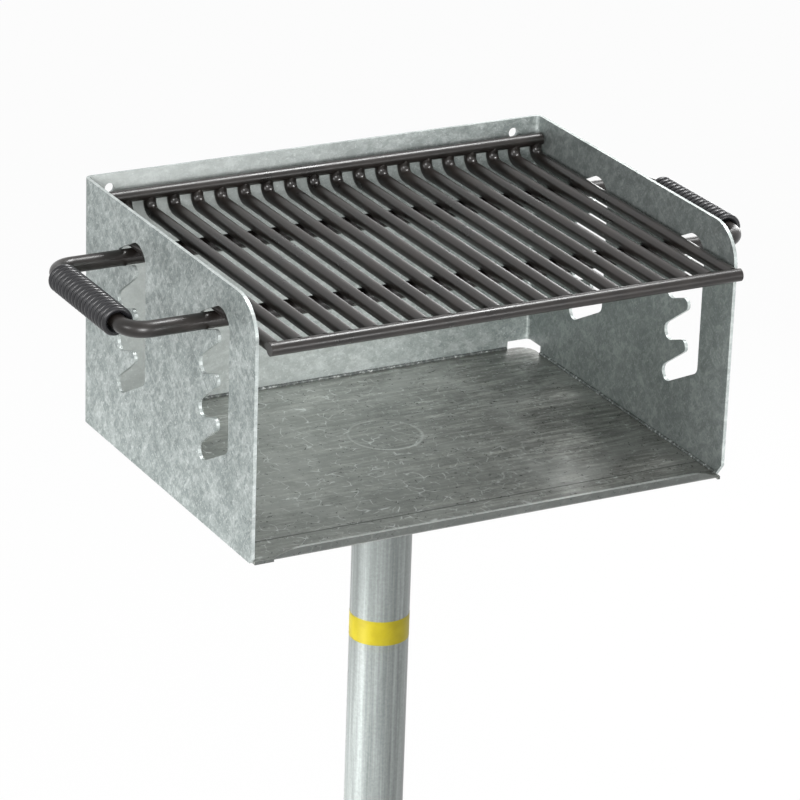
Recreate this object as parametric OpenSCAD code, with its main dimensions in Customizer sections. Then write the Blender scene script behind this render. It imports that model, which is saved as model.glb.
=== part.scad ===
// Park barbecue grill: a sheet steel firebox that turns on a pipe post, with a lift-out grate.
// Millimetres, X to the right, Y to the back, Z up, origin in the middle of the post's lower end.

/* [Firebox] */
// Width over the two side walls
firebox_w = 508; // [440:1:640]
// Depth from the walls' front edges to the back wall's outer face
firebox_d = 381; // [372:1:460]
// Height of the walls
firebox_h = 254; // [248:1:320]
// Thickness of the sheet
sheet_t = 3.4; // [2.6:0.1:4.6]
// Inner radius of the two vertical bends at the back
corner_bend_r = 5; // [3:0.5:9]
// Radius of the top front corner of each side wall
wall_corner_r = 38; // [15:1:45]
// Cut at the bottom front corner of the left wall
left_toe_cut = 4; // [1:0.5:12]
// Cut at the bottom front corner of the right wall
right_toe_cut = 10; // [1:0.5:12]
// Distance from the walls' front edges back to the post's axis
post_setback = 220.5; // [180:0.5:240]

/* [Floor] */
// Height of the floor's top face above the walls' lower edges
floor_rise = 2.4; // [1.5:0.1:5]
// Height of the front lip, from the floor's underside to its top edge
lip_h = 10; // [9:0.5:20]
// Inner radius of the lip's upward bend
lip_bend_r = 2; // [1.5:0.5:4]
// Distance from the left wall to the lip's end
lip_left_in = 20; // [2:1:30]
// Distance from the right wall to the lip's end
lip_right_in = 3; // [2:1:30]
// Length over which each end of the lip rises to its full height
lip_end_run = 30; // [16:1:40]
// Radius of the floor's back corners
drain_corner_r = 17; // [12:1:24]
// Width of the drain notch along both walls, at the foot of the back right corner
drain_notch_w = 25; // [20:1:40]
// Height of the drain notch
drain_notch_h = 10.3; // [8:0.1:14]
// Gap left for the welds round the floor
weld_gap = 0.3; // [0.2:0.1:0.5]

/* [Wall holes] */
// Diameter of the two holes in the back wall
back_hole_d = 10; // [6:0.5:12]
// Distance of both holes' axes below the walls' top edge
back_hole_drop = 14.5; // [10:0.5:16]
// Distance of the left hole from the left wall's outer face
left_hole_in = 26; // [20:1:40]
// Distance of the right hole from the right wall's outer face
right_hole_in = 33; // [20:1:45]

/* [Slots] */
// Distance of the front slots' straight side from the walls' front edges
slot_in = 53; // [46:1:60]
// Distance between the front slots and the back slots
slot_spacing = 182.5; // [150:0.5:190]
// Width of a slot over its notches
slot_w = 63.5; // [60:0.5:70]
// Width of the straight channel in front of the teeth
channel_w = 24; // [21:0.5:27]
// Height of sheet left above a slot
slot_top_web = 27.2; // [20:0.5:30]
// Radius of a slot's rounded top
slot_nose_r = 20; // [16:0.5:22]
// Radius of a slot's bottom front corner
slot_toe_r = 10; // [7:0.5:12]
// Drop from the centre of the rounded top to the centre of the top notch
notch_drop = 5; // [3:0.5:8]
// Height from one notch to the next
notch_pitch = 43.5; // [40:0.5:44]
// Number of notches
notch_count = 4; // [2:1:4]
// Play of a cross rod in its notch, on the radius
notch_play = 1.05; // [0.8:0.05:1.5]
// Radius of a tooth's tip
tooth_tip_r = 6.4; // [5:0.1:7]
// Drop from a notch's centre to the centre of the tooth tip under it
tooth_drop = 7.6; // [7:0.1:9]
// Rise from the lowest notch's centre to the bottom front corner's centre
slot_toe_rise = 24.7; // [20:0.1:28]

/* [Grate] */
// Number of grate rods
rod_count = 20; // [12:1:20]
// Diameter of the grate rods and of the front and back bars
rod_d = 12.7; // [10:0.1:13]
// Diameter of the cross rods and handles
cross_rod_d = 15.9; // [14:0.1:16.4]
// Gap between the grate and each side wall
grate_side_gap = 3; // [2:0.5:8]
// Distance of the front bar's axis in front of the walls' front edges
front_bar_out = 15; // [10:0.5:25]
// Gap between the back bar and the back wall
back_bar_gap = 5.2; // [3:0.1:12]
// Radius of the upward bend at the back of each rod, on its axis
rod_bend_r = 11; // [9:0.5:16]
// Gap between pieces that seat on each other
seat_gap = 0.3; // [0.2:0.1:0.5]

/* [Handles] */
// Distance of a handle's outer bar from the firebox, on its axis
handle_reach = 74; // [55:1:100]
// Radius of a handle's bends, on its axis
handle_bend_r = 22; // [18:1:30]
// Distance of the joint with the cross rod from the side wall
handle_joint_out = 1; // [0.5:0.5:5]

/* [Grips] */
// Diameter of the grip's spring wire
grip_wire_d = 5.8; // [4:0.1:6.2]
// Distance from one turn of the grip to the next
grip_pitch = 7.6; // [6.8:0.1:8]
// Number of turns of a grip
grip_turns = 17; // [8:1:17]
// Play between the grip and the handle's bar, on the radius
grip_play = 0.3; // [0.2:0.1:0.8]

/* [Post] */
// Length of the post with its cap
post_h = 1118; // [700:1:1400]
// Outer diameter of the post's pipe
post_d = 60.3; // [55:0.1:65]
// Wall of the post's pipe
post_wall = 3.9; // [3.2:0.1:6]
// Thickness of the post's cap
cap_t = 4.8; // [3:0.1:8]
// Gap under the firebox's floor, where it turns on the cap
swivel_gap = 0.3; // [0.2:0.1:0.5]

/* [Swivel] */
// Length of the collar under the floor
collar_h = 76.2; // [50:0.1:95]
// Wall of the collar
collar_wall = 5.2; // [4:0.1:7]
// Play between the collar and the post, on the radius
collar_play = 1.2; // [0.8:0.1:1.6]
// Width of the groove round the post
groove_w = 9; // [8:0.1:12]
// Depth of the groove round the post
groove_depth = 1.9; // [1.5:0.1:2.2]
// Diameter of the retaining screws
screw_d = 10; // [8:0.1:12]
// Diameter of a retaining screw's tip
screw_tip_d = 6.6; // [5:0.1:7]
// Length of a retaining screw's tip
screw_tip_h = 4; // [3.6:0.1:5]
// Radial play of the screw tip over the groove's floor
screw_tip_play = 0.5; // [0.3:0.1:0.6]
// Play of a screw in its hole, on the radius
screw_play = 0.15; // [0.1:0.05:0.25]
// Width of a nut across its flats
nut_af = 17; // [15:0.1:20]
// Height of a nut from the collar's outer face
nut_h = 8; // [6:0.1:10]
// How far a retaining screw stands out of its nut
screw_out = 2; // [1:0.1:4]
// Width of the hexagon socket in a retaining screw
socket_af = 5; // [4:0.1:5.5]
// Depth of the hexagon socket
socket_depth = 4; // [3:0.1:6]

/* [Hidden] */
// Facets of the round solids
$fn = 64;
// Steps of a drawn arc in an outline
arc_steps = 8;
// How far a cutting solid runs past the face that it cuts
overrun = 1;

// Firebox: its planes, seen from the post's axis
front_y = -post_setback;
back_y = front_y + firebox_d;
side_x = firebox_w / 2;
inner_x = side_x - sheet_t;
inner_back_y = back_y - sheet_t;
outer_bend_r = corner_bend_r + sheet_t;
floor_under_z = post_h + swivel_gap;
floor_top_z = floor_under_z + sheet_t;
base_z = floor_top_z - floor_rise;
top_z = base_z + firebox_h;
outer_lip_r = lip_bend_r + sheet_t;
lip_rise = lip_h - sheet_t;
lip_top_z = floor_under_z + lip_h;
// Rise of the cut at a wall's bottom front corner, as a share of its depth
toe_rise_share = 1.3;

// Slots: circles in a side wall's own plane, from its front edge and its lower edge
cross_rod_r = cross_rod_d / 2;
notch_r = cross_rod_r + notch_play;
nose_z = firebox_h - slot_top_web - slot_nose_r;
top_notch_z = nose_z - notch_drop;
notch_y = slot_w - notch_r;
tooth_y = channel_w + tooth_tip_r;
last_notch_z = top_notch_z - (notch_count - 1) * notch_pitch;

// Cross rods: seated at the bottom of the top notches
front_rod_y = front_y + slot_in + notch_y;
back_rod_y = front_rod_y + slot_spacing;
cross_rod_z = base_z + top_notch_z - notch_play + seat_gap;
cross_rod_end_x = side_x + handle_joint_out;

// Grate: rods on the cross rods, between the two bars
rod_r = rod_d / 2;
rod_z = cross_rod_z + cross_rod_r + seat_gap + rod_r;
grate_half_w = inner_x - grate_side_gap;
rod_step = (2 * grate_half_w - rod_d) / (rod_count - 1);
front_bar_y = front_y - front_bar_out;
back_bar_y = inner_back_y - back_bar_gap - rod_r;
back_bar_z = rod_z + rod_bend_r + seat_gap + rod_r;
// Part of a rod's radius by which its coped end reaches round a bar
cope_share = 0.5;

// Handles and grips
handle_x = side_x + handle_reach;
grip_mid_y = (front_rod_y + back_rod_y) / 2;
grip_length = grip_turns * grip_pitch;
grip_wire_r = grip_wire_d / 2;
rings_per_turn = 8;
sides_per_ring = 6;
// The play is measured where the wire's straight steps come nearest to the bar
grip_coil_r = (cross_rod_r + grip_play + grip_wire_r) / cos(180 / rings_per_turn);
grip_ring_count = grip_turns * rings_per_turn + 1;

// Post and swivel
post_r = post_d / 2;
bore_r = post_r - post_wall;
pipe_h = post_h - cap_t;
collar_inner_r = post_r + collar_play;
collar_outer_r = collar_inner_r + collar_wall;
collar_low_z = floor_under_z - collar_h;
screw_z = floor_under_z - collar_h / 2;
groove_r = post_r - groove_depth;
screw_tip_x = groove_r + screw_tip_play;
screw_end_x = collar_outer_r + nut_h + screw_out;

rod_nodes = [for (i = [1:rod_count]) str("grate_rod_", i < 10 ? "0" : "", i)];

galvanised = "#a9b1b3";
dark_paint = "#26221f";
spring_black = "#1d1d1f";
zinc_plate = "#c3c6c8";

// Points along an arc, from one angle to another
function arc(centre, r, from, to) =
    [for (i = [0:arc_steps]) let (a = from + (to - from) * i / arc_steps)
        centre + r * [cos(a), sin(a)]];

// A belt laid round a list of discs, each a centre and a radius. The path goes clockwise round a
// disc inside the outline and, where the radius is negative, the other way round a disc outside.
function belt_angle(p, q) =
    let (d = q[0] - p[0]) atan2(d[1], d[0]) + acos((p[1] - q[1]) / norm(d));
function turn(a) = a - 360 * floor(a / 360);
function belt(discs) =
    let (n = len(discs))
    [for (i = [0:n - 1])
        let (
            before = belt_angle(discs[(i + n - 1) % n], discs[i]),
            after = belt_angle(discs[i], discs[(i + 1) % n]),
            sweep = discs[i][1] > 0 ? -turn(before - after) : turn(after - before)
        )
        each arc(discs[i][0], discs[i][1], before, before + sweep)];

// Outline of one slot: rounded top, notches with a tooth under all but the last, bottom corner
function notch_disc(k) = [[notch_y, top_notch_z - k * notch_pitch], notch_r];
function tooth_disc(k) = [[tooth_y, top_notch_z - k * notch_pitch - tooth_drop], -tooth_tip_r];
slot_outline = belt(concat(
    [[[slot_nose_r, nose_z], slot_nose_r]],
    [for (k = [0:notch_count - 1]) each k < notch_count - 1 ? [notch_disc(k), tooth_disc(k)] : [notch_disc(k)]],
    [[[slot_toe_r, last_notch_z + slot_toe_rise], slot_toe_r]]));

// The straight of a slot's top tooth, along which the cross rod slides out of its notch
unhook_angle = belt_angle(notch_disc(0), tooth_disc(0)) - 90;
echo("axis along which the grate unhooks", [0, cos(unhook_angle), sin(unhook_angle)]);

// Places of a grip's wire: ring by ring round the handle's bar, which runs along Y
function grip_centre(i) =
    let (a = 360 * i / rings_per_turn)
    [grip_coil_r * cos(a), grip_length * (i / (grip_ring_count - 1) - 1 / 2), grip_coil_r * sin(a)];
function grip_ring(i) =
    let (a = 360 * i / rings_per_turn, c = grip_centre(i))
    [for (k = [0:sides_per_ring - 1]) let (b = 360 * k / sides_per_ring)
        c + grip_wire_r * [cos(b) * cos(a), sin(b), cos(b) * sin(a)]];
grip_gap = min([for (i = [0:grip_ring_count - 1 - rings_per_turn])
    for (j = [i + rings_per_turn - 1:min(i + rings_per_turn + 1, grip_ring_count - 1)])
        norm(grip_centre(j) - grip_centre(i)) - grip_wire_d]);
echo("least gap between two turns of a grip", grip_gap);

module post_pipe() {
    color(galvanised)
        difference() {
            cylinder(h = pipe_h, r = post_r);
            translate([0, 0, -overrun])
                cylinder(h = pipe_h + 2 * overrun, r = bore_r);
            translate([0, 0, screw_z - groove_w / 2])
                difference() {
                    cylinder(h = groove_w, r = post_r + overrun);
                    translate([0, 0, -overrun])
                        cylinder(h = groove_w + 2 * overrun, r = groove_r);
                }
        }
}

module post_cap() {
    color(galvanised)
        translate([0, 0, pipe_h])
            cylinder(h = cap_t, r = post_r);
}

// A solid drawn along +X from the post's axis, put on the collar's right and left sides
module on_both_sides() {
    for (side = [0, 180])
        rotate([0, 0, side])
            translate([0, 0, screw_z])
                rotate([0, 90, 0])
                    children();
}

module swivel_collar() {
    color(galvanised)
        difference() {
            translate([0, 0, collar_low_z])
                cylinder(h = collar_h, r = collar_outer_r);
            translate([0, 0, collar_low_z - overrun])
                cylinder(h = collar_h + 2 * overrun, r = collar_inner_r);
            on_both_sides()
                cylinder(h = collar_outer_r + overrun, r = screw_d / 2 + screw_play);
        }
}

module collar_nuts() {
    color(zinc_plate)
        difference() {
            on_both_sides()
                translate([0, 0, collar_inner_r])
                    cylinder(h = collar_wall + nut_h, r = nut_af / 2 / cos(30), $fn = 6);
            translate([0, 0, collar_low_z])
                cylinder(h = collar_h, r = collar_outer_r + weld_gap);
            on_both_sides()
                cylinder(h = collar_outer_r + nut_h + overrun, r = screw_d / 2 + screw_play);
        }
}

module retaining_screws() {
    color(zinc_plate)
        on_both_sides()
            difference() {
                union() {
                    translate([0, 0, screw_tip_x])
                        cylinder(h = screw_tip_h, r = screw_tip_d / 2);
                    translate([0, 0, screw_tip_x + screw_tip_h])
                        cylinder(h = screw_end_x - screw_tip_x - screw_tip_h, r = screw_d / 2);
                }
                translate([0, 0, screw_end_x - socket_depth])
                    cylinder(h = socket_depth + overrun, r = socket_af / 2 / cos(30), $fn = 6);
            }
}

// Plan of the floor: flat out to the front beside the lip, with two rounded back corners
floor_half_w = inner_x - weld_gap;
floor_back_y = inner_back_y - weld_gap;
lip_left_x = lip_left_in - inner_x;
lip_right_x = inner_x - lip_right_in;
floor_plan = concat(
    [[-floor_half_w, front_y], [lip_left_x, front_y], [lip_left_x, front_y + outer_lip_r]],
    [[lip_right_x, front_y + outer_lip_r], [lip_right_x, front_y], [floor_half_w, front_y]],
    arc([floor_half_w - drain_corner_r, floor_back_y - drain_corner_r], drain_corner_r, 0, 90),
    arc([drain_corner_r - floor_half_w, floor_back_y - drain_corner_r], drain_corner_r, 90, 180));

// Front of the lip: a long arc at each end brings its top edge up from the floor's top face
lip_end_r = (lip_end_run * lip_end_run + lip_rise * lip_rise) / (2 * lip_rise);
lip_end_angle = acos(1 - lip_rise / lip_end_r);
lip_front = concat(
    [[lip_left_x, floor_under_z], [lip_right_x, floor_under_z]],
    arc([lip_right_x - lip_end_run, lip_top_z - lip_end_r], lip_end_r, 90 - lip_end_angle, 90),
    arc([lip_left_x + lip_end_run, lip_top_z - lip_end_r], lip_end_r, 90, 90 + lip_end_angle));

// The lip: a quarter bend up from the floor and a short upright, cut to its front outline
module lip() {
    intersection() {
        translate([lip_left_x, front_y, floor_under_z])
            rotate([90, 0, 90])
                linear_extrude(lip_right_x - lip_left_x) {
                    translate([outer_lip_r, outer_lip_r])
                        intersection() {
                            difference() {
                                circle(outer_lip_r);
                                circle(lip_bend_r);
                            }
                            translate([-outer_lip_r, -outer_lip_r])
                                square(outer_lip_r);
                        }
                    translate([0, outer_lip_r])
                        square([sheet_t, lip_h - outer_lip_r]);
                }
        translate([0, front_y + outer_lip_r + overrun, 0])
            rotate([90, 0, 0])
                linear_extrude(outer_lip_r + 2 * overrun)
                    polygon(lip_front);
    }
}

module firebox_floor() {
    color(galvanised)
        union() {
            translate([0, 0, floor_under_z])
                linear_extrude(sheet_t)
                    polygon(floor_plan);
            lip();
        }
}

// Plan inside one face of the bent sheet: from near_y to far_y, with rounded back corners
module bent_plan(half_w, near_y, far_y, r) {
    translate([-half_w, near_y])
        square([2 * half_w, far_y - r - near_y]);
    translate([r - half_w, near_y])
        square([2 * (half_w - r), far_y - near_y]);
    for (x = [r - half_w, half_w - r])
        translate([x, far_y - r])
            circle(r);
}

// One sheet bent into a U, open at the front
module bent_sheet() {
    translate([0, 0, base_z])
        linear_extrude(firebox_h)
            difference() {
                bent_plan(side_x, front_y, back_y, outer_bend_r);
                bent_plan(inner_x, front_y - overrun, inner_back_y, corner_bend_r);
            }
}

// A cut drawn in the side walls' plane, from their front edges and lower edges
module through_walls(low_x, high_x) {
    translate([low_x, front_y, base_z])
        rotate([90, 0, 90])
            linear_extrude(high_x - low_x)
                children();
}

module top_front_corner() {
    difference() {
        translate([-overrun, firebox_h - wall_corner_r])
            square(wall_corner_r + overrun);
        translate([wall_corner_r, firebox_h - wall_corner_r])
            circle(wall_corner_r);
    }
}

module toe(toe_cut) {
    polygon([
        [-overrun, -overrun],
        [toe_cut + overrun / toe_rise_share, -overrun],
        [-overrun, (toe_cut + overrun) * toe_rise_share]]);
}

module back_hole(x) {
    translate([x, inner_back_y - overrun, top_z - back_hole_drop])
        rotate([-90, 0, 0])
            cylinder(h = sheet_t + 2 * overrun, r = back_hole_d / 2);
}

// Notch at the foot of the back right corner, through both walls and the bend between them
module drain_notch() {
    side = drain_notch_w + sheet_t + overrun;
    translate([inner_x - drain_notch_w, inner_back_y - drain_notch_w, base_z - overrun])
        cube([side, side, drain_notch_h + overrun]);
}

module firebox_shell() {
    color(galvanised)
        difference() {
            bent_sheet();
            through_walls(-side_x - overrun, side_x + overrun) {
                top_front_corner();
                for (back = [0, slot_spacing])
                    translate([slot_in + back, 0])
                        polygon(slot_outline);
            }
            through_walls(-side_x - overrun, overrun - inner_x)
                toe(left_toe_cut);
            through_walls(inner_x - overrun, side_x + overrun)
                toe(right_toe_cut);
            drain_notch();
            back_hole(left_hole_in - side_x);
            back_hole(side_x - right_hole_in);
        }
}

// A round bar along X
module bar_along_x(half_length, r) {
    translate([-half_length, 0, 0])
        rotate([0, 90, 0])
            cylinder(h = 2 * half_length, r = r);
}

module grate_front_bar() {
    color(dark_paint)
        translate([0, front_bar_y, rod_z])
            bar_along_x(grate_half_w, rod_r);
}

module grate_back_bar() {
    color(dark_paint)
        translate([0, back_bar_y, back_bar_z])
            bar_along_x(grate_half_w, rod_r);
}

module cross_rod(y) {
    color(dark_paint)
        translate([0, y, cross_rod_z])
            bar_along_x(cross_rod_end_x, cross_rod_r);
}

module cross_rod_front() {
    cross_rod(front_rod_y);
}

module cross_rod_back() {
    cross_rod(back_rod_y);
}

// A grate rod: straight from the front bar, turned up at the back, and coped to both bars
module grate_rod(i) {
    rod_start_y = front_bar_y + rod_r - cope_share * rod_r;
    bend_y = back_bar_y - rod_bend_r;
    color(dark_paint)
        translate([rod_r - grate_half_w + (i - 1) * rod_step, 0, 0])
            difference() {
                union() {
                    translate([0, rod_start_y, rod_z])
                        rotate([-90, 0, 0])
                            cylinder(h = bend_y - rod_start_y, r = rod_r);
                    translate([0, bend_y, rod_z + rod_bend_r])
                        rotate([0, 90, 0])
                            rotate_extrude(angle = 90)
                                translate([rod_bend_r, 0])
                                    circle(rod_r);
                    translate([0, back_bar_y, rod_z + rod_bend_r])
                        cylinder(h = seat_gap + cope_share * rod_r, r = rod_r);
                }
                translate([0, front_bar_y, rod_z])
                    bar_along_x(rod_d, rod_r + seat_gap);
                translate([0, back_bar_y, back_bar_z])
                    bar_along_x(rod_d, rod_r + seat_gap);
            }
}

// The right-hand handle: two legs from the cross rods, two bends and the bar for the grip
module handle() {
    leg = handle_x - handle_bend_r - cross_rod_end_x;
    color(dark_paint)
        translate([0, 0, cross_rod_z])
            union() {
                for (y = [front_rod_y, back_rod_y])
                    translate([cross_rod_end_x, y, 0])
                        rotate([0, 90, 0])
                            cylinder(h = leg, r = cross_rod_r);
                translate([handle_x - handle_bend_r, front_rod_y + handle_bend_r, 0])
                    rotate([0, 0, -90])
                        handle_bend();
                translate([handle_x - handle_bend_r, back_rod_y - handle_bend_r, 0])
                    handle_bend();
                translate([handle_x, front_rod_y + handle_bend_r, 0])
                    rotate([-90, 0, 0])
                        cylinder(h = slot_spacing - 2 * handle_bend_r, r = cross_rod_r);
            }
}

module handle_bend() {
    rotate_extrude(angle = 90)
        translate([handle_bend_r, 0])
            circle(cross_rod_r);
}

module handle_left() {
    mirror([1, 0, 0])
        handle();
}

module handle_right() {
    handle();
}

// A grip: one unbroken wire wound round the handle's bar
module grip(x) {
    points = [for (i = [0:grip_ring_count - 1]) each grip_ring(i)];
    last = (grip_ring_count - 1) * sides_per_ring;
    sides = [for (i = [0:grip_ring_count - 2]) for (k = [0:sides_per_ring - 1])
        let (
            a = i * sides_per_ring + k,
            b = i * sides_per_ring + (k + 1) % sides_per_ring,
            c = a + sides_per_ring,
            d = b + sides_per_ring
        )
        each [[a, c, b], [b, c, d]]];
    ends = [for (k = [1:sides_per_ring - 2]) each [[0, k, k + 1], [last, last + k + 1, last + k]]];
    color(spring_black)
        translate([x, grip_mid_y, cross_rod_z])
            polyhedron(points, concat(sides, ends));
}

module grip_left() {
    grip(-handle_x);
}

module grip_right() {
    grip(handle_x);
}

post_pipe();
post_cap();
swivel_collar();
collar_nuts();
retaining_screws();
firebox_floor();
firebox_shell();
grate_front_bar();
grate_back_bar();
cross_rod_front();
cross_rod_back();
handle_left();
handle_right();
grip_left();
grip_right();
for (i = [1:rod_count]) grate_rod(i);
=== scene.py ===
import math
import bmesh
import bpy
from mathutils import Euler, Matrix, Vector


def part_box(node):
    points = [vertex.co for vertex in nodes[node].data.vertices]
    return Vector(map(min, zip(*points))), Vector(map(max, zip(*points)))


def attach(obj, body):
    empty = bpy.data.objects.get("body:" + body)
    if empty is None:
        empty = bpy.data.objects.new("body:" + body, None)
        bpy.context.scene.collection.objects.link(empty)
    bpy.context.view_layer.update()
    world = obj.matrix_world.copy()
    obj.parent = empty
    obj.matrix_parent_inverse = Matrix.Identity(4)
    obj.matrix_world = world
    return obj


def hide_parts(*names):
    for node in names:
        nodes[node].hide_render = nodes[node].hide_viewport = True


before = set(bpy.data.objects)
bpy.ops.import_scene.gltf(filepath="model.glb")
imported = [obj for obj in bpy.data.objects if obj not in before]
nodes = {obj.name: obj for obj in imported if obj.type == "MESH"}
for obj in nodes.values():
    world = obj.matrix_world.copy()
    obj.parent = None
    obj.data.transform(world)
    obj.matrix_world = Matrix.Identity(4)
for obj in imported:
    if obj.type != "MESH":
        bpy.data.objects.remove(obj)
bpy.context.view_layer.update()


# Firebox sheet. One steel plate bent into a U round the fire and dipped in molten zinc after it
# was cut. The zinc freezes in frosty crystals, with near-white flecks and a few dark smudges. A
# painted highlight runs along the sheet's cut edges, painted shade darkens the right wall's inner
# face, and painted light brightens the back wall's inner face towards its left end.
MM = 0.001


def linear(hex_colour):
    """An sRGB hex colour as the linear colour that a shader takes."""
    channels = [int(hex_colour[i:i + 2], 16) / 255 for i in (1, 3, 5)]
    return [c / 12.92 if c <= 0.04045 else ((c + 0.055) / 1.055) ** 2.4 for c in channels] + [1]


def add_node(tree, kind, links=None, values=None, stops=None, **settings):
    """Adds a node with its settings, socket values, colour stops and links."""
    node = tree.nodes.new(kind)
    for name, value in settings.items():
        setattr(node, name, value)
    for socket, value in (values or {}).items():
        node.inputs[socket].default_value = value
    for socket, source in (links or {}).items():
        tree.links.new(source, node.inputs[socket])
    for i, (place, colour) in enumerate(stops or []):
        marks = node.color_ramp.elements
        mark = marks[i] if i < len(marks) else marks.new(place)
        mark.position = place
        mark.color = linear(colour)
    return node


def new_material(name, metallic, roughness):
    """A material with its surface shader and the Object coordinates that its patterns read."""
    made = bpy.data.materials.new(name)
    made.use_nodes = True
    tree = made.node_tree
    surface = tree.nodes["Principled BSDF"]
    surface.inputs["Metallic"].default_value = metallic
    surface.inputs["Roughness"].default_value = roughness
    return made, tree, surface, tree.nodes.new("ShaderNodeTexCoord").outputs["Object"]


def zinc_dipped(name, tones, spangle, crystal_share, roughness):
    """Hot-dip zinc: crystals with wandering edges, frost inside them, and broad clouds."""
    made, tree, surface, place = new_material(name, ZINC_METALLIC, roughness)
    facing = tree.nodes.new("ShaderNodeTexCoord").outputs["Normal"]
    drift = add_node(tree, "ShaderNodeTexNoise", {"Vector": place},
                     {"Scale": 0.6 / spangle, "Detail": 3.0})
    wander = add_node(tree, "ShaderNodeVectorMath", {0: drift.outputs["Color"], 2: place},
                      {1: (spangle, spangle, spangle)}, operation="MULTIPLY_ADD").outputs[0]
    cells = add_node(tree, "ShaderNodeTexVoronoi", {"Vector": wander}, {"Scale": 1 / spangle})
    cell = add_node(tree, "ShaderNodeSeparateColor", {"Color": cells.outputs["Color"]}).outputs[0]
    frost = add_node(tree, "ShaderNodeTexNoise", {"Vector": wander},
                     {"Scale": 2.6 / spangle, "Detail": 8.0, "Roughness": 0.7}).outputs["Fac"]
    clouds = add_node(tree, "ShaderNodeTexNoise", {"Vector": place},
                      {"Scale": 0.14 / spangle, "Detail": 3.0}).outputs["Fac"]
    tone = add_node(tree, "ShaderNodeMath", {0: cell}, {1: crystal_share}, operation="MULTIPLY")
    tone = add_node(tree, "ShaderNodeMath", {0: frost, 2: tone.outputs[0]},
                    {1: FROST_SHARE}, operation="MULTIPLY_ADD")
    tone = add_node(tree, "ShaderNodeMath", {0: clouds, 2: tone.outputs[0]},
                    {1: 1 - crystal_share - FROST_SHARE}, operation="MULTIPLY_ADD")
    colour = add_node(tree, "ShaderNodeValToRGB", {"Fac": tone.outputs[0]},
                      stops=list(zip((0.34, 0.50, 0.66), tones))).outputs["Color"]
    flecks = add_node(tree, "ShaderNodeTexNoise", {"Vector": place},
                      {"Scale": 3.4 / spangle, "Detail": 5.0, "Roughness": 0.62}).outputs["Fac"]
    fleck = add_node(tree, "ShaderNodeMapRange", {"Value": flecks},
                     {"From Min": 0.58, "From Max": 0.70, "To Max": FLECK_SHARE}).outputs[0]
    colour = add_node(tree, "ShaderNodeMix", {0: fleck, 6: colour}, {7: linear("#e6ebea")},
                      data_type="RGBA").outputs[2]
    gloss = add_node(tree, "ShaderNodeMapRange", {"Value": frost},
                     {"From Min": 0.3, "From Max": 0.7, "To Min": roughness - 0.08,
                      "To Max": roughness + 0.10}).outputs[0]
    tree.links.new(gloss, surface.inputs["Roughness"])
    bump = add_node(tree, "ShaderNodeBump", {"Height": frost},
                    {"Strength": 0.25, "Distance": 0.3 * MM})
    tree.links.new(bump.outputs["Normal"], surface.inputs["Normal"])
    return made, tree, surface, place, facing, colour, bump


def finish_node(name, made):
    """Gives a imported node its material."""
    nodes[name].data.materials.clear()
    nodes[name].data.materials.append(made)


ZINC_METALLIC = 0.55
FROST_SHARE = 0.55
FLECK_SHARE = 0.75
SHEET = 3.4 * MM
SMUDGES_FROM = 110 * MM
SMUDGES_FULL = 20 * MM
RIGHT_WALL_IN = 4 * MM
BACK_WALL_IN = 10.5 * MM
CUT_EDGE_END = 20.5 * MM
BACK_PAINTED_LIGHT = (-0.22, 0.20)
shell_low, shell_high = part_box("firebox_shell")
# Hot-dip galvanised mild steel: a frosted blue-grey that is half mirror, half chalk.
zinc_sheet, tree, surface, place, facing, colour, _ = zinc_dipped(
    "hot_dip_galvanised_sheet", ("#757f7d", "#99a2a0", "#c3cac8"), 7 * MM, 0.14, 0.44)
where = add_node(tree, "ShaderNodeSeparateXYZ", {"Vector": place}).outputs
side = add_node(tree, "ShaderNodeSeparateXYZ", {"Vector": facing}).outputs
smudge = add_node(tree, "ShaderNodeTexNoise", {"Vector": place},
                  {"Scale": 1 / (26 * MM), "Detail": 6.0, "Roughness": 0.7}).outputs["Fac"]
smudge = add_node(tree, "ShaderNodeMapRange", {"Value": smudge},
                  {"From Min": 0.54, "From Max": 0.66, "To Max": 1.0}).outputs[0]
upper = add_node(tree, "ShaderNodeMapRange", {"Value": where["Z"]},
                 {"From Min": shell_high.z - SMUDGES_FROM, "From Max": shell_high.z - SMUDGES_FULL,
                  "To Min": 0.25, "To Max": 0.85}).outputs[0]
smudge = add_node(tree, "ShaderNodeMath", {0: smudge, 1: upper}, operation="MULTIPLY").outputs[0]
colour = add_node(tree, "ShaderNodeMix", {0: smudge, 6: colour}, {7: linear("#7c8482")},
                  data_type="RGBA").outputs[2]
for turn, width, length, tone, share in ((0.7, 5 * MM, 13 * MM, "#d6dcda", 0.48),
                                         (-0.9, 3 * MM, 70 * MM, "#d9dfdd", 0.26),
                                         (1.1, 8 * MM, 17 * MM, "#78817f", 0.50)):
    slant = add_node(tree, "ShaderNodeMapping", {"Vector": place},
                     {"Rotation": (turn, 0.3 * turn, 0), "Scale": (length, width, length)},
                     vector_type="TEXTURE").outputs[0]
    streak = add_node(tree, "ShaderNodeTexNoise", {"Vector": slant},
                      {"Scale": 1.0, "Detail": 5.0, "Roughness": 0.62}).outputs["Fac"]
    streak = add_node(tree, "ShaderNodeMapRange", {"Value": streak},
                      {"From Min": 0.52, "From Max": 0.68, "To Max": share}).outputs[0]
    colour = add_node(tree, "ShaderNodeMix", {0: streak, 6: colour}, {7: linear(tone)},
                      data_type="RGBA").outputs[2]
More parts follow.
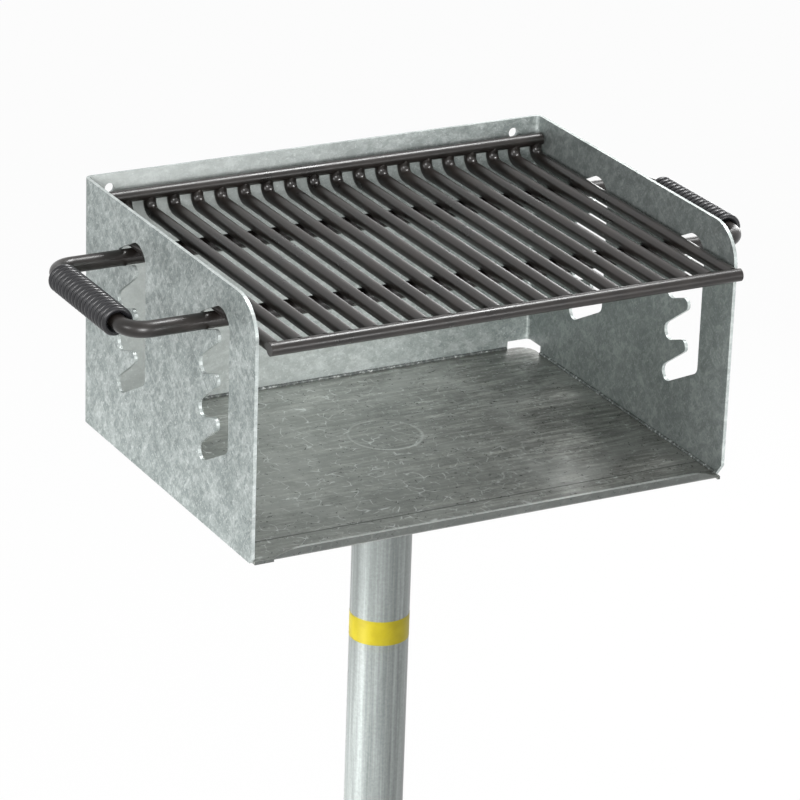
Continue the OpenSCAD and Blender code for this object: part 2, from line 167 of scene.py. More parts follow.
# Painted shade: the right wall's inner face, turned towards -X, is darkened toward #6f7371.
painted_shade_right_wall = add_node(tree, "ShaderNodeMath", {0: where["X"]}, {1: shell_high.x - RIGHT_WALL_IN},
                 operation="GREATER_THAN")
painted_shade_right_wall = add_node(tree, "ShaderNodeMath", {0: painted_shade_right_wall.outputs[0], 1: side["X"]}, operation="MULTIPLY")
painted_shade_right_wall = add_node(tree, "ShaderNodeMapRange", {"Value": painted_shade_right_wall.outputs[0]},
                 {"From Min": -0.9, "From Max": -0.2, "To Min": 0.45, "To Max": 0.0}).outputs[0]
colour = add_node(tree, "ShaderNodeMix", {0: painted_shade_right_wall, 6: colour}, {7: linear("#6f7371")},
                  data_type="RGBA").outputs[2]
# Painted light: the back wall's inner face is lightened toward #dde2df, most towards its left end.
back = add_node(tree, "ShaderNodeMapRange", {"Value": where["X"]},
                {"From Min": BACK_PAINTED_LIGHT[0], "From Max": BACK_PAINTED_LIGHT[1],
                 "To Min": 0.66, "To Max": 0.10}).outputs[0]
deep = add_node(tree, "ShaderNodeMath", {0: where["Y"]}, {1: shell_high.y - BACK_WALL_IN},
                operation="GREATER_THAN")
ahead = add_node(tree, "ShaderNodeMapRange", {"Value": side["Y"]},
                 {"From Min": -0.9, "From Max": -0.4, "To Min": 1.0, "To Max": 0.0}).outputs[0]
back = add_node(tree, "ShaderNodeMath", {0: back, 1: deep.outputs[0]}, operation="MULTIPLY")
back = add_node(tree, "ShaderNodeMath", {0: back.outputs[0], 1: ahead}, operation="MULTIPLY")
colour = add_node(tree, "ShaderNodeMix", {0: back.outputs[0], 6: colour}, {7: linear("#dde2df")},
                  data_type="RGBA").outputs[2]
# Painted highlight: cut edges facing up, down or forward are lightened toward #dfe4e2.
up = add_node(tree, "ShaderNodeMath", {0: side["Z"]}, operation="ABSOLUTE")
along = add_node(tree, "ShaderNodeMath", {0: where["Y"]}, {1: shell_high.y - CUT_EDGE_END},
                 operation="LESS_THAN")
end = add_node(tree, "ShaderNodeMath", {0: side["Y"]}, operation="ABSOLUTE")
end = add_node(tree, "ShaderNodeMath", {0: end.outputs[0], 1: along.outputs[0]},
               operation="MULTIPLY")
painted_edge_highlight = add_node(tree, "ShaderNodeMath", {0: up.outputs[0], 1: end.outputs[0]}, operation="MAXIMUM")
painted_edge_highlight = add_node(tree, "ShaderNodeMapRange", {"Value": painted_edge_highlight.outputs[0]},
                {"From Min": 0.5, "From Max": 0.8, "To Max": 0.25}).outputs[0]
colour = add_node(tree, "ShaderNodeMix", {0: painted_edge_highlight, 6: colour}, {7: linear("#dfe4e2")},
                  data_type="RGBA").outputs[2]
tree.links.new(colour, surface.inputs["Base Color"])
finish_node("firebox_shell", zinc_sheet)


# Firebox floor. A second galvanised plate, welded between the walls, its front edge bent up as a
# lip. The collar's weld under it shows as a raised ring with a painted highlight, a painted shade
# line marks the press crease behind the lip, the lip's bend has a painted highlight and its front
# faces painted shade, painted light lightens its left half, and stacking has drawn fine curved
# scratches in its left half.
floor_low, floor_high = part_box("firebox_floor")
RING_RADIUS = 37 * MM
RING_WIDTH = 2.4 * MM
CREASE_BACK = 40 * MM
WORN_AND_LIT_LEFT = (-0.05, 0.16)
floor_z = floor_low.z + SHEET
# The same zinc, laid thicker and duller: greenish grey, with painted light on its left half.
zinc_floor, tree, surface, place, facing, colour, bump = zinc_dipped(
    "hot_dip_galvanised_floor", ("#7a7a74", "#9b9b95", "#c1c2bd"), 14 * MM, 0.05, 0.32)
where = add_node(tree, "ShaderNodeSeparateXYZ", {"Vector": place}).outputs
bend = add_node(tree, "ShaderNodeTexNoise", {"Vector": place},
                {"Scale": 1 / (32 * MM), "Detail": 2.0}).outputs["Color"]
bent = add_node(tree, "ShaderNodeVectorMath", {0: bend, 2: place},
                {1: (28 * MM, 28 * MM, 0)}, operation="MULTIPLY_ADD").outputs[0]
web = add_node(tree, "ShaderNodeTexVoronoi", {"Vector": bent}, {"Scale": 1 / (17 * MM)},
               feature="DISTANCE_TO_EDGE").outputs["Distance"]
web = add_node(tree, "ShaderNodeMapRange", {"Value": web},
               {"From Min": 0.010, "From Max": 0.035, "To Min": 1.0, "To Max": 0.0}).outputs[0]
breaks = add_node(tree, "ShaderNodeTexNoise", {"Vector": place},
                  {"Scale": 1 / (14 * MM), "Detail": 3.0}).outputs["Fac"]
breaks = add_node(tree, "ShaderNodeMapRange", {"Value": breaks},
                  {"From Min": 0.48, "From Max": 0.60}).outputs[0]
# Left-half mask, for both the real scratches and the painted light.
wear_and_light_left = add_node(tree, "ShaderNodeMapRange", {"Value": where["X"]},
                    {"From Min": WORN_AND_LIT_LEFT[0], "From Max": WORN_AND_LIT_LEFT[1],
                     "To Min": 0.90, "To Max": 0.18}).outputs[0]
grain = add_node(tree, "ShaderNodeMapping", {"Vector": place},
                 {"Scale": (1 / (48 * MM), 1 / (6 * MM), 1)}).outputs[0]
smear = add_node(tree, "ShaderNodeTexNoise", {"Vector": grain},
                 {"Scale": 1.0, "Detail": 7.0, "Roughness": 0.68}).outputs["Fac"]
smear = add_node(tree, "ShaderNodeValToRGB", {"Fac": smear},
                 stops=[(0.34, "#38352f"), (0.5, "#808080"), (0.66, "#cccecc")]).outputs["Color"]
colour = add_node(tree, "ShaderNodeMix", {6: colour, 7: smear}, {0: 0.75},
                  data_type="RGBA", blend_type="OVERLAY").outputs[2]
cloud = add_node(tree, "ShaderNodeTexNoise", {"Vector": place},
                 {"Scale": 1 / (95 * MM), "Detail": 3.0, "Distortion": 0.8}).outputs["Fac"]
cloud = add_node(tree, "ShaderNodeMapRange", {"Value": cloud},
                 {"From Min": 0.50, "From Max": 0.68, "To Max": 0.45}).outputs[0]
colour = add_node(tree, "ShaderNodeMix", {0: cloud, 6: colour}, {7: linear("#b4b6b2")},
                  data_type="RGBA").outputs[2]
# Painted light: the floor's left half is lightened toward #c9cec9.
painted_light_left = add_node(tree, "ShaderNodeMath", {0: wear_and_light_left}, {1: 0.42}, operation="MULTIPLY").outputs[0]
colour = add_node(tree, "ShaderNodeMix", {0: painted_light_left, 6: colour}, {7: linear("#c9cec9")},
                  data_type="RGBA").outputs[2]
web = add_node(tree, "ShaderNodeMath", {0: web, 1: breaks}, operation="MULTIPLY").outputs[0]
web = add_node(tree, "ShaderNodeMath", {0: web, 1: wear_and_light_left}, operation="MULTIPLY").outputs[0]
colour = add_node(tree, "ShaderNodeMix", {0: web, 6: colour}, {7: linear("#e2e6e3")},
                  data_type="RGBA").outputs[2]
flat = add_node(tree, "ShaderNodeCombineXYZ", {"X": where["X"], "Y": where["Y"]}).outputs[0]
reach = add_node(tree, "ShaderNodeVectorMath", {0: flat}, operation="LENGTH").outputs["Value"]
reach = add_node(tree, "ShaderNodeMath", {0: reach}, {1: RING_RADIUS}, operation="SUBTRACT")
reach = add_node(tree, "ShaderNodeMath", {0: reach.outputs[0]}, operation="ABSOLUTE")
ring = add_node(tree, "ShaderNodeMapRange", {"Value": reach.outputs[0]},
                {"From Min": 0.0, "From Max": RING_WIDTH, "To Min": 1.0, "To Max": 0.0},
                interpolation_type="SMOOTHSTEP").outputs[0]
# Painted highlight: the raised ring is lightened toward #d4d8d4, most on its front arc.
ring_front_highlight = add_node(tree, "ShaderNodeMapRange", {"Value": where["Y"]},
               {"From Min": -RING_RADIUS, "From Max": RING_RADIUS, "To Min": 0.8, "To Max": 0.22})
ring_painted_highlight = add_node(tree, "ShaderNodeMath", {0: ring, 1: ring_front_highlight.outputs[0]}, operation="MULTIPLY")
colour = add_node(tree, "ShaderNodeMix", {0: ring_painted_highlight.outputs[0], 6: colour},
                  {7: linear("#d4d8d4")}, data_type="RGBA").outputs[2]
# Painted shade: a thin dark line toward #3c3d3a along the press crease behind the front edge.
painted_crease_shade = add_node(tree, "ShaderNodeMath", {0: where["Y"]},
                  {1: floor_low.y + CREASE_BACK}, operation="SUBTRACT")
painted_crease_shade = add_node(tree, "ShaderNodeMath", {0: painted_crease_shade.outputs[0]}, operation="ABSOLUTE")
painted_crease_shade = add_node(tree, "ShaderNodeMapRange", {"Value": painted_crease_shade.outputs[0]},
                  {"From Min": 0.4 * MM, "From Max": 1.6 * MM, "To Min": 0.9, "To Max": 0.0})
span = add_node(tree, "ShaderNodeMapRange", {"Value": breaks}, {"To Min": 0.8}).outputs[0]
painted_crease_shade = add_node(tree, "ShaderNodeMath", {0: painted_crease_shade.outputs[0], 1: span},
                  operation="MULTIPLY")
colour = add_node(tree, "ShaderNodeMix", {0: painted_crease_shade.outputs[0], 6: colour},
                  {7: linear("#3c3d3a")}, data_type="RGBA").outputs[2]
# Painted highlight: the floor within 0.9 mm of its top height, the lip's bend, is lightened toward
# #d6dad6.
painted_crest_highlight = add_node(tree, "ShaderNodeMapRange", {"Value": where["Z"]},
                 {"From Min": floor_high.z - 0.9 * MM, "From Max": floor_high.z - 0.3 * MM,
                  "To Max": 0.9}).outputs[0]
colour = add_node(tree, "ShaderNodeMix", {0: painted_crest_highlight, 6: colour}, {7: linear("#d6dad6")},
                  data_type="RGBA").outputs[2]
# Painted shade: faces turned forward, the lip's front face, are darkened toward #4e5250.
front = add_node(tree, "ShaderNodeSeparateXYZ", {"Vector": facing}).outputs["Y"]
front = add_node(tree, "ShaderNodeMapRange", {"Value": front},
                 {"From Min": -0.9, "From Max": -0.3, "To Min": 0.85, "To Max": 0.0}).outputs[0]
colour = add_node(tree, "ShaderNodeMix", {0: front, 6: colour}, {7: linear("#4e5250")},
                  data_type="RGBA").outputs[2]
ring_bump = add_node(tree, "ShaderNodeBump",
                     {"Height": ring, "Normal": bump.outputs["Normal"]},
                     {"Strength": 0.6, "Distance": 0.6 * MM})
tree.links.new(ring_bump.outputs["Normal"], surface.inputs["Normal"])
tree.links.new(colour, surface.inputs["Base Color"])
finish_node("firebox_floor", zinc_floor)


# Floor welds. Fillet beads run inside along the foot of both side walls and the back wall, and
# stop short of the drain notch. The welder laid them in short overlapping ripples, and they were
# zinced with the box.
WELD_LEG = 3.8 * MM
RIPPLE = 3.2 * MM
RIPPLE_LOW = 0.86
BEAD_SINK = 0.22
WELD_STEPS = 4
BEAD_SIDES = 10
FRONT_CLEAR = 9 * MM
DRAIN_CLEAR = 27 * MM
CORNER_CLEAR = 18 * MM
inner_x = shell_high.x - SHEET
inner_back_y = shell_high.y - SHEET
# Zinc over weld metal: lumpier and brighter than the sheet beside it.
zinc_weld, tree, surface, place = new_material("zinced_weld_metal", 0.6, 0.42)
lumps = add_node(tree, "ShaderNodeTexNoise", {"Vector": place},
                 {"Scale": 1 / (4 * MM), "Detail": 4.0}).outputs["Fac"]
tint = add_node(tree, "ShaderNodeValToRGB", {"Fac": lumps},
                stops=[(0.40, "#5b5f5d"), (0.58, "#7d8280"), (0.70, "#e2e6e4")]).outputs["Color"]
tree.links.new(tint, surface.inputs["Base Color"])
bump = add_node(tree, "ShaderNodeBump", {"Height": lumps}, {"Strength": 0.4, "Distance": 0.4 * MM})
tree.links.new(bump.outputs["Normal"], surface.inputs["Normal"])

bead_tree = bpy.data.node_groups.new("fillet_bead", "GeometryNodeTree")
bead_tree.interface.new_socket("Path", in_out="INPUT", socket_type="NodeSocketGeometry")
bead_leg = bead_tree.interface.new_socket(
    "Leg", in_out="INPUT", socket_type="NodeSocketFloat").identifier
bead_ripple = bead_tree.interface.new_socket(
    "Ripple", in_out="INPUT", socket_type="NodeSocketFloat").identifier
bead_finish = bead_tree.interface.new_socket(
    "Finish", in_out="INPUT", socket_type="NodeSocketMaterial").identifier
bead_tree.interface.new_socket("Bead", in_out="OUTPUT", socket_type="NodeSocketGeometry")
given = bead_tree.nodes.new("NodeGroupInput").outputs
route = add_node(bead_tree, "GeometryNodeMeshToCurve", {"Mesh": given["Path"]})
pace = add_node(bead_tree, "ShaderNodeMath", {0: given["Ripple"]}, {1: 1 / WELD_STEPS},
                operation="MULTIPLY")
steps = add_node(bead_tree, "GeometryNodeResampleCurve",
                 {"Curve": route.outputs["Curve"], "Length": pace.outputs[0]}, mode="LENGTH")
along = bead_tree.nodes.new("GeometryNodeSplineParameter").outputs["Length"]
phase = add_node(bead_tree, "ShaderNodeMath", {0: along, 1: given["Ripple"]}, operation="DIVIDE")
turns = add_node(bead_tree, "ShaderNodeMath", {0: phase.outputs[0]}, {1: math.tau},
                 operation="MULTIPLY")
wave = add_node(bead_tree, "ShaderNodeMath", {0: turns.outputs[0]}, operation="SINE")
swell = add_node(bead_tree, "ShaderNodeMapRange", {"Value": wave.outputs[0]},
                 {"From Min": -1.0, "To Min": RIPPLE_LOW})
size = add_node(bead_tree, "ShaderNodeMath", {0: swell.outputs[0], 1: given["Leg"]},
                operation="MULTIPLY")
ring = add_node(bead_tree, "GeometryNodeCurvePrimitiveCircle",
                values={"Resolution": BEAD_SIDES, "Radius": 0.5})
swept = add_node(bead_tree, "GeometryNodeCurveToMesh",
                 {"Curve": steps.outputs["Curve"], "Profile Curve": ring.outputs["Curve"],
                  "Scale": size.outputs[0]}, {"Fill Caps": True})
solid = add_node(bead_tree, "GeometryNodeRealizeInstances", {"Geometry": swept.outputs["Mesh"]})
coated = add_node(bead_tree, "GeometryNodeSetMaterial",
                  {"Geometry": solid.outputs["Geometry"], "Material": given["Finish"]})
bead_tree.links.new(coated.outputs["Geometry"],
                    bead_tree.nodes.new("NodeGroupOutput").inputs["Bead"])


def grown(name, points, edges, tree, inputs, material):
    """Runs a Geometry Nodes tree on points and edges, and keeps the result as a plain mesh."""
    seed = bpy.data.meshes.new(name)
    seed.from_pydata(points, edges, [])
    piece = bpy.data.objects.new(name, seed)
    bpy.context.scene.collection.objects.link(piece)
    modifier = piece.modifiers.new(name, "NODES")
    modifier.node_group = tree
    for socket, value in inputs.items():
        modifier[socket] = value
    shown = piece.evaluated_get(bpy.context.evaluated_depsgraph_get())
    piece.data = bpy.data.meshes.new_from_object(shown)
    piece.modifiers.clear()
    shaped = bmesh.new()
    shaped.from_mesh(piece.data)
    bmesh.ops.recalc_face_normals(shaped, faces=shaped.faces)
    shaped.to_mesh(piece.data)
    shaped.free()
    piece.data.polygons.foreach_set("use_smooth", [True] * len(piece.data.polygons))
    piece.data.materials.clear()
    piece.data.materials.append(material)
    return piece


bead_z = floor_z + WELD_LEG * BEAD_SINK
bead_y = inner_back_y - WELD_LEG * BEAD_SINK
bead_x = inner_x - WELD_LEG * BEAD_SINK
front_end = shell_low.y + FRONT_CLEAR
drain_end = inner_back_y - DRAIN_CLEAR
corner_end = inner_back_y - CORNER_CLEAR
for name, start, stop in (
        ("floor_weld_left", (-bead_x, front_end, bead_z), (-bead_x, corner_end, bead_z)),
        ("floor_weld_right", (bead_x, front_end, bead_z), (bead_x, drain_end, bead_z)),
        ("floor_weld_back", (CORNER_CLEAR - inner_x, bead_y, bead_z),
         (inner_x - DRAIN_CLEAR, bead_y, bead_z))):
    weld = grown(name, [start, stop], [(0, 1)], bead_tree,
                 {bead_leg: WELD_LEG, bead_ripple: RIPPLE, bead_finish: zinc_weld}, zinc_weld)
    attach(weld, "firebox")


# Grate. Round steel bars welded into one grid, with two thicker cross rods and the two handles
# bent from the same bar, all under one thin coat of satin black heat-proof paint.
GRAIN = 1.6 * MM


def satin_black(name, dark, worn, roughness):
    """Heat-proof paint: warm near-black, a little worn in patches, with a fine orange peel."""
    made, tree, surface, place = new_material(name, 0.0, roughness)
    blotch = add_node(tree, "ShaderNodeTexNoise", {"Vector": place},
                      {"Scale": 1 / (38 * MM), "Detail": 6.0, "Roughness": 0.65}).outputs["Fac"]
    tint = add_node(tree, "ShaderNodeValToRGB", {"Fac": blotch},
                    stops=[(0.36, dark), (0.68, worn)]).outputs["Color"]
    tree.links.new(tint, surface.inputs["Base Color"])
    gloss = add_node(tree, "ShaderNodeMapRange", {"Value": blotch},
                     {"From Min": 0.35, "From Max": 0.65, "To Min": roughness - 0.06,
                      "To Max": roughness + 0.08}).outputs[0]
    tree.links.new(gloss, surface.inputs["Roughness"])
    peel = add_node(tree, "ShaderNodeTexNoise", {"Vector": place},
                    {"Scale": 1 / GRAIN, "Detail": 3.0}).outputs["Fac"]
    bump = add_node(tree, "ShaderNodeBump", {"Height": peel},
                    {"Strength": 0.06, "Distance": 0.15 * MM})
    tree.links.new(bump.outputs["Normal"], surface.inputs["Normal"])
    return made


# Satin black silicone paint, sprayed on bare bar: it keeps a soft grey highlight.
grate_paint = satin_black("satin_black_heatproof_paint", "#120f0d", "#25201d", 0.33)
for name in nodes:
    if name.startswith(("grate_", "cross_rod_", "handle_")):
        finish_node(name, grate_paint)


# Grate welds. Each rod's front end meets the front bar and its turned-up end meets the back bar,
# fixed by one small rounded bead that stays shinier than the bars.
NUGGET_RADIUS = 2.3 * MM
NUGGET_SUBDIVISIONS = 2
# The same paint over weld metal, smoother and so glossier.
weld_paint = satin_black("satin_black_over_weld", "#26221f", "#4a4541", 0.24)
_, front_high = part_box("grate_front_bar")
back_low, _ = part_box("grate_back_bar")
rod_boxes = [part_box(name) for name in sorted(nodes) if name.startswith("grate_rod_")]

nugget_tree = bpy.data.node_groups.new("weld_nuggets", "GeometryNodeTree")
nugget_tree.interface.new_socket("Points", in_out="INPUT", socket_type="NodeSocketGeometry")
nugget_radius = nugget_tree.interface.new_socket(
    "Radius", in_out="INPUT", socket_type="NodeSocketFloat").identifier
nugget_finish = nugget_tree.interface.new_socket(
    "Finish", in_out="INPUT", socket_type="NodeSocketMaterial").identifier
nugget_tree.interface.new_socket("Nuggets", in_out="OUTPUT", socket_type="NodeSocketGeometry")
given = nugget_tree.nodes.new("NodeGroupInput").outputs
ball = add_node(nugget_tree, "GeometryNodeMeshIcoSphere", {"Radius": given["Radius"]},
                {"Subdivisions": NUGGET_SUBDIVISIONS})
spin = add_node(nugget_tree, "FunctionNodeRandomValue",
                values={1: (math.tau, math.tau, math.tau), "Seed": 4}, data_type="FLOAT_VECTOR")
stretch = add_node(nugget_tree, "FunctionNodeRandomValue",
                   values={0: (0.75, 0.7, 0.6), 1: (1.15, 1.0, 0.8), "Seed": 9},
                   data_type="FLOAT_VECTOR")
placed = add_node(nugget_tree, "GeometryNodeInstanceOnPoints",
                  {"Points": given["Points"], "Instance": ball.outputs["Mesh"],
                   "Rotation": spin.outputs[0], "Scale": stretch.outputs[0]})
solid = add_node(nugget_tree, "GeometryNodeRealizeInstances",
                 {"Geometry": placed.outputs["Instances"]})
coated = add_node(nugget_tree, "GeometryNodeSetMaterial",
                  {"Geometry": solid.outputs["Geometry"], "Material": given["Finish"]})
nugget_tree.links.new(coated.outputs["Geometry"],
                      nugget_tree.nodes.new("NodeGroupOutput").inputs["Nuggets"])
for name, y, z in (
        ("grate_welds_front", front_high.y + 0.6 * MM, front_high.z - 2.2 * MM),
        ("grate_welds_back", back_low.y + 1.9 * MM, back_low.z + 2.4 * MM)):
    points = [((low.x + high.x) / 2, y, z) for low, high in rod_boxes]
    welds = grown(name, points, [], nugget_tree,
                  {nugget_radius: NUGGET_RADIUS, nugget_finish: weld_paint}, weld_paint)
    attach(welds, "grate")


# Spring grips. Round spring wire wound tightly over each handle, so that a hand stays clear of
# the hot bar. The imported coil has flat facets, and a smooth one on the same route replaces it.
GRIP_TURNS = 17
GRIP_WIRE = 5.8 * MM
COIL_STEPS = 32
WIRE_SIDES = 12
# Satin black paint on drawn spring wire, cooler than the bars and smoother.
grip_paint = satin_black("satin_black_spring_wire", "#17171a", "#242427", 0.30)
for name, node in (("spring_grip_left", "grip_left"), ("spring_grip_right", "grip_right")):
    low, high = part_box(node)
    centre = (low + high) / 2
    wire_r = GRIP_WIRE / 2
    coil_r = (high.z - low.z) / 2 - wire_r
    length = high.y - low.y - GRIP_WIRE
    count = GRIP_TURNS * COIL_STEPS
    shaped = bmesh.new()
    rings = []
    for i in range(count + 1):
        turn = math.tau * i / COIL_STEPS
        out = Vector((math.cos(turn), 0, math.sin(turn)))
        middle = centre + out * coil_r + Vector((0, length * (i / count - 0.5), 0))
        rings.append([shaped.verts.new(middle + wire_r * (math.cos(a) * out
                                                          + math.sin(a) * Vector((0, 1, 0))))
                      for a in (math.tau * k / WIRE_SIDES for k in range(WIRE_SIDES))])
    for one, two in zip(rings, rings[1:]):
        for k in range(WIRE_SIDES):
            j = (k + 1) % WIRE_SIDES
            shaped.faces.new((one[k], two[k], two[j], one[j]))
    shaped.faces.new(rings[0])
    shaped.faces.new(rings[-1][::-1])
    bmesh.ops.recalc_face_normals(shaped, faces=shaped.faces)
    coil = bpy.data.meshes.new(name)
    shaped.to_mesh(coil)
    shaped.free()
    coil.polygons.foreach_set("use_smooth", [len(face.vertices) == 4 for face in coil.polygons])
    coil.materials.append(grip_paint)
    grip = bpy.data.objects.new(name, coil)
    bpy.context.scene.collection.objects.link(grip)
    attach(grip, "grate")
    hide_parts(node)


# Post and swivel. Galvanised steel pipe with long drawn streaks, the disc welded on its top, and
# the wider collar welded under the firebox, which turns on it.
# Galvanised pipe: lighter and silkier than the sheet, streaked along its length.
zinc_pipe, tree, surface, place = new_material("galvanised_drawn_pipe", 0.40, 0.34)
drawn = add_node(tree, "ShaderNodeMapping", {"Vector": place}, {"Scale": (1, 1, 0.02)}).outputs[0]
streaks = add_node(tree, "ShaderNodeTexNoise", {"Vector": drawn},
                   {"Scale": 1 / (4 * MM), "Detail": 5.0, "Roughness": 0.6}).outputs["Fac"]
tint = add_node(tree, "ShaderNodeValToRGB", {"Fac": streaks},
                stops=[(0.30, "#757a78"), (0.5, "#8a908e"), (0.70, "#a1a6a4")]).outputs["Color"]
speckle = add_node(tree, "ShaderNodeTexNoise", {"Vector": place},
                   {"Scale": 1 / (3 * MM), "Detail": 5.0, "Roughness": 0.7}).outputs["Fac"]
grain = add_node(tree, "ShaderNodeValToRGB", {"Fac": speckle},
                 stops=[(0.35, "#6f6f6f"), (0.65, "#949494")]).outputs["Color"]
tint = add_node(tree, "ShaderNodeMix", {6: tint, 7: grain}, {0: 0.6},
                data_type="RGBA", blend_type="OVERLAY").outputs[2]
tree.links.new(tint, surface.inputs["Base Color"])
bump = add_node(tree, "ShaderNodeBump", {"Height": streaks},
                {"Strength": 0.2, "Distance": 0.25 * MM})
tree.links.new(bump.outputs["Normal"], surface.inputs["Normal"])
for name in ("post_pipe", "post_cap", "swivel_collar"):
    finish_node(name, zinc_pipe)


# Swivel fasteners. Two hexagon nuts welded on the collar, with a socket screw in each, whose tip
# runs in the post's groove and holds the firebox down.
# Bright zinc plate: thin, even and a little yellowed.
zinc_plate, tree, surface, place = new_material("bright_zinc_plate", 0.85, 0.28)
haze = add_node(tree, "ShaderNodeTexNoise", {"Vector": place},
                {"Scale": 1 / (6 * MM), "Detail": 3.0}).outputs["Fac"]
tint = add_node(tree, "ShaderNodeValToRGB", {"Fac": haze},
                stops=[(0.4, "#b4b6b1"), (0.62, "#d3d4cf")]).outputs["Color"]
tree.links.new(tint, surface.inputs["Base Color"])
for name in ("collar_nuts", "retaining_screws"):
    finish_node(name, zinc_plate)


# Post band. A plain strip of yellow vinyl film, stuck round the pipe below the collar.
BAND_DROP = 200 * MM
BAND_HIGH = 26 * MM
BAND_FILM = 0.15 * MM
BAND_SIDES = 128
# Vinyl film: clean yellow with a soft even gloss and slight unevenness where it was smoothed on.
film, tree, surface, place = new_material("yellow_vinyl_film", 0.0, 0.42)
surface.inputs["Specular IOR Level"].default_value = 0.25
press = add_node(tree, "ShaderNodeTexNoise", {"Vector": place},
                 {"Scale": 1 / (14 * MM), "Detail": 3.0}).outputs["Fac"]
tint = add_node(tree, "ShaderNodeValToRGB", {"Fac": press},
                stops=[(0.4, "#867a08"), (0.6, "#8e820e")]).outputs["Color"]
tree.links.new(tint, surface.inputs["Base Color"])
bump = add_node(tree, "ShaderNodeBump", {"Height": press},
                {"Strength": 0.1, "Distance": 0.1 * MM})
tree.links.new(bump.outputs["Normal"], surface.inputs["Normal"])
post_low, post_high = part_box("post_pipe")
post_r = (post_high.x - post_low.x) / 2
band_z = shell_low.z - BAND_DROP
profile = ((post_r, -0.5), (post_r + BAND_FILM, -0.5), (post_r + BAND_FILM, 0.5), (post_r, 0.5))
shaped = bmesh.new()
rings = [[shaped.verts.new((r * math.cos(turn), r * math.sin(turn), band_z + h * BAND_HIGH))
          for r, h in profile] for turn in (math.tau * i / BAND_SIDES for i in range(BAND_SIDES))]
for one, two in zip(rings, rings[1:] + rings[:1]):
    for k in range(len(profile)):
        j = (k + 1) % len(profile)
        shaped.faces.new((one[k], two[k], two[j], one[j]))
bmesh.ops.recalc_face_normals(shaped, faces=shaped.faces)
strip = bpy.data.meshes.new("post_band")
shaped.to_mesh(strip)
shaped.free()
strip.materials.append(film)
post_band = bpy.data.objects.new("post_band", strip)
bpy.context.scene.collection.objects.link(post_band)
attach(post_band, "post")


# Studio. A pale floor under the post's foot that the camera and reflections see as white paper,
# a white surround, and soft lamps: two on the left, of which one is a narrow light on the post
# alone, two in front, one behind and one above.
HALF_FLOOR = 12.0
FLOOR_WHITE = 0.96


def seen_directly(tree):
    """1 for rays from the camera, a reflection or glass, and 0 for light that bounces on."""
    ray = tree.nodes.new("ShaderNodeLightPath").outputs
    seen = add_node(tree, "ShaderNodeMath", {0: ray["Is Camera Ray"], 1: ray["Is Glossy Ray"]},
                    operation="MAXIMUM").outputs[0]
    return add_node(tree, "ShaderNodeMath", {0: seen, 1: ray["Is Transmission Ray"]},
                    operation="MAXIMUM").outputs[0]


ground = bpy.data.meshes.new("studio_floor")
ground.from_pydata([(-HALF_FLOOR, -HALF_FLOOR, 0), (HALF_FLOOR, -HALF_FLOOR, 0),
                    (HALF_FLOOR, HALF_FLOOR, 0), (-HALF_FLOOR, HALF_FLOOR, 0)], [], [(0, 1, 2, 3)])
studio_floor = bpy.data.objects.new("studio_floor", ground)
bpy.context.scene.collection.objects.link(studio_floor)
paper, tree, surface, place = new_material("white_backdrop_paper", 0.0, 0.9)
fibre = add_node(tree, "ShaderNodeTexNoise", {"Vector": place}, {"Scale": 3.0}).outputs["Fac"]
tint = add_node(tree, "ShaderNodeValToRGB", {"Fac": fibre},
                stops=[(0.4, "#f2f2f2"), (0.6, "#f6f6f6")]).outputs["Color"]
tree.links.new(tint, surface.inputs["Base Color"])
seen = add_node(tree, "ShaderNodeMath", {0: seen_directly(tree)}, {1: FLOOR_WHITE},
                operation="MULTIPLY").outputs[0]
glow = add_node(tree, "ShaderNodeEmission", values={"Color": (1, 1, 1, 1), "Strength": 1.0})
blend = add_node(tree, "ShaderNodeMixShader",
                 {0: seen, 1: surface.outputs[0], 2: glow.outputs[0]})
tree.links.new(blend.outputs[0], tree.nodes["Material Output"].inputs["Surface"])
ground.materials.append(paper)

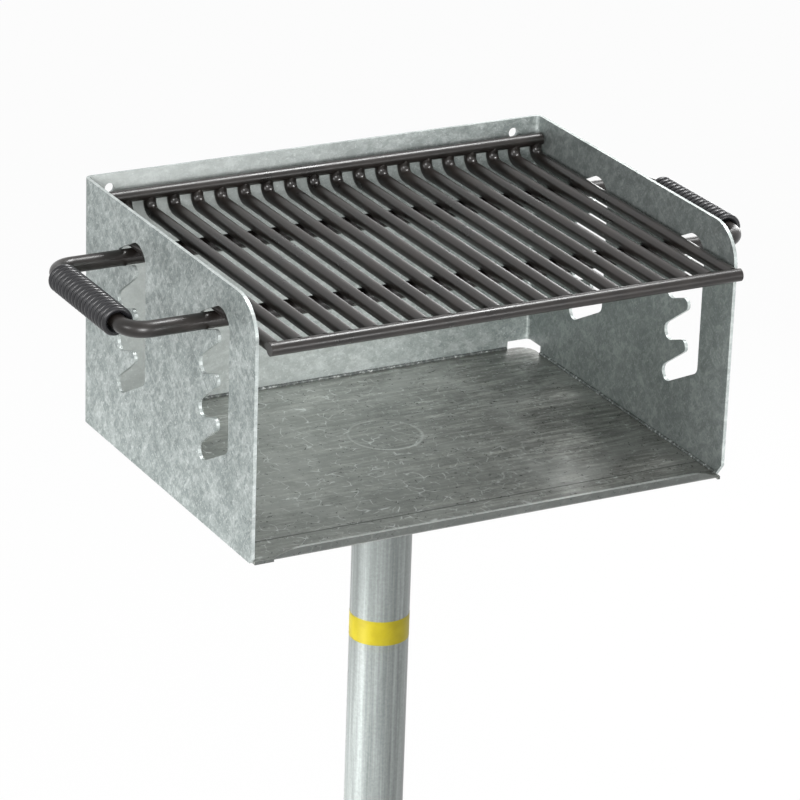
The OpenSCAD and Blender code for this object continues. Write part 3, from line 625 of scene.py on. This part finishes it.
surround = bpy.data.worlds.new("white_surround")
bpy.context.scene.world = surround
surround.use_nodes = True
sky = surround.node_tree
sky.nodes.clear()
soft = add_node(sky, "ShaderNodeBackground",
                values={"Color": linear("#eef1f2"), "Strength": 0.30})
white = add_node(sky, "ShaderNodeBackground", values={"Color": (1, 1, 1, 1), "Strength": 1.0})
both = add_node(sky, "ShaderNodeMixShader",
                {0: seen_directly(sky), 1: soft.outputs[0], 2: white.outputs[0]})
sky.links.new(both.outputs[0], sky.nodes.new("ShaderNodeOutputWorld").inputs["Surface"])

SHELL_MIDDLE = (shell_low.z + shell_high.z) / 2
POST_MIDDLE = 0.62
for name, stand, size, power, target, spread in (
        ("lamp_left", (-2.7, -0.6, 2.3), 0.7, 18, SHELL_MIDDLE, 180),
        ("lamp_post", (-2.4, -0.1, 0.7), 0.5, 5.4, POST_MIDDLE, 24),
        ("lamp_front", (-1.4, -2.8, 2.0), 0.9, 80, SHELL_MIDDLE, 180),
        ("lamp_low", (1.1, -3.1, 1.45), 0.8, 20, SHELL_MIDDLE, 180),
        ("lamp_back", (2.3, 2.2, 1.6), 1.3, 34, SHELL_MIDDLE, 180),
        ("lamp_above", (0.95, 0.2, 3.4), 0.6, 50, SHELL_MIDDLE, 180)):
    lamp = bpy.data.lights.new(name, "AREA")
    lamp.size = size
    lamp.energy = power
    lamp.spread = math.radians(spread)
    holder = bpy.data.objects.new(name, lamp)
    bpy.context.scene.collection.objects.link(holder)
    holder.location = stand
    sight = Vector((0, 0, target)) - Vector(stand)
    holder.rotation_euler = sight.to_track_quat("-Z", "Y").to_euler()


# Camera. Where the photograph was taken from, with the lens that gives its perspective.
view = bpy.data.cameras.new("photo_camera")
view.sensor_width = 36
view.lens = 183.568
view.clip_end = 100
camera = bpy.data.objects.new("photo_camera", view)
bpy.context.scene.collection.objects.link(camera)
camera.location = (-1.7644, -3.2634, 2.6596)
camera.rotation_euler = Euler([math.radians(a) for a in (67.971, -1.8428, -27.8562)], "XYZ")
bpy.context.scene.camera = camera
bpy.context.scene.view_settings.view_transform = "Standard"
